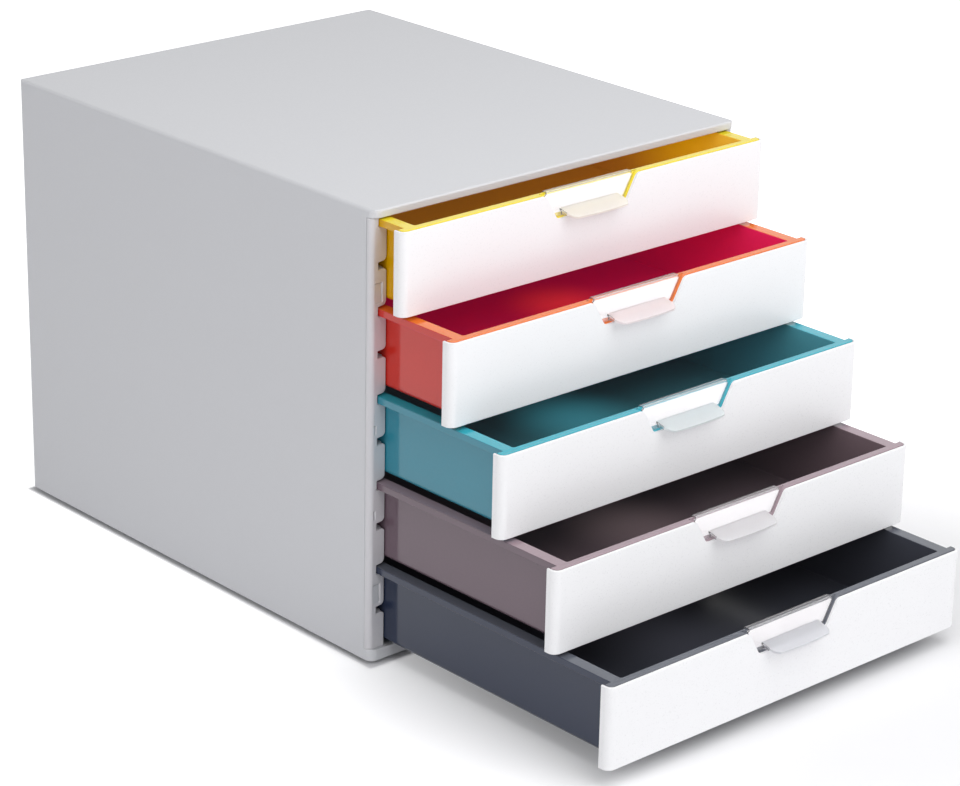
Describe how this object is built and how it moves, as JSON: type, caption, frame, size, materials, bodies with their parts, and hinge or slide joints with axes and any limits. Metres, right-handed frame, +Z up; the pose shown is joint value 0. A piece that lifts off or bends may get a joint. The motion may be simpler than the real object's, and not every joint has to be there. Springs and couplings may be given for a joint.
{
  "type": "desktop drawer box",
  "caption": "Desktop document drawer box with a grey housing, coloured sliding trays, white notched fronts, label windows and clear grips.",
  "frame": {"origin": "middle of the housing's footprint, on the surface that the feet rest on", "axes": "+X to the right seen from the front, -Y out of the front the way the drawers open, +Z up"},
  "size_m": [0.292, 0.56, 0.282],
  "materials": {
    "housing_plastic": "fine satin moulded",
    "rail_plastic": "satin moulded",
    "feet_rubber": "matt",
    "tray_yellow": "gloss moulded",
    "tray_orange_red": "gloss moulded",
    "tray_teal": "gloss moulded",
    "tray_taupe": "gloss moulded",
    "tray_anthracite": "gloss moulded",
    "cover_white": "soft gloss moulded",
    "label_paper": "uncoated card",
    "grip_clear": "clear polystyrene"
  },
  "bodies": {
    "housing": {"housing_shell": "housing_plastic", "back_panel": "housing_plastic", "left_rail_panel": "rail_plastic", "right_rail_panel": "rail_plastic", "rubber_feet": "feet_rubber"},
    "drawer_1": {"tray_1": "tray_yellow", "front_cover_1": "cover_white", "label_card_1": "label_paper", "clear_grip_1": "grip_clear"},
    "drawer_2": {"tray_2": "tray_orange_red", "front_cover_2": "cover_white", "label_card_2": "label_paper", "clear_grip_2": "grip_clear"},
    "drawer_3": {"tray_3": "tray_teal", "front_cover_3": "cover_white", "label_card_3": "label_paper", "clear_grip_3": "grip_clear"},
    "drawer_4": {"tray_4": "tray_taupe", "front_cover_4": "cover_white", "label_card_4": "label_paper", "clear_grip_4": "grip_clear"},
    "drawer_5": {"tray_5": "tray_anthracite", "front_cover_5": "cover_white", "label_card_5": "label_paper", "clear_grip_5": "grip_clear"}
  },
  "joints": [
    {"name": "drawer_1_slide", "type": "slide", "parent": "housing", "child": "drawer_1", "axis": [0, -1, 0], "range_m": [-0.019, 0.216]},
    {"name": "drawer_2_slide", "type": "slide", "parent": "housing", "child": "drawer_2", "axis": [0, -1, 0], "range_m": [-0.061, 0.174]},
    {"name": "drawer_3_slide", "type": "slide", "parent": "housing", "child": "drawer_3", "axis": [0, -1, 0], "range_m": [-0.104, 0.131]},
    {"name": "drawer_4_slide", "type": "slide", "parent": "housing", "child": "drawer_4", "axis": [0, -1, 0], "range_m": [-0.149, 0.086]},
    {"name": "drawer_5_slide", "type": "slide", "parent": "housing", "child": "drawer_5", "axis": [0, -1, 0], "range_m": [-0.194, 0.041]}
  ]
}
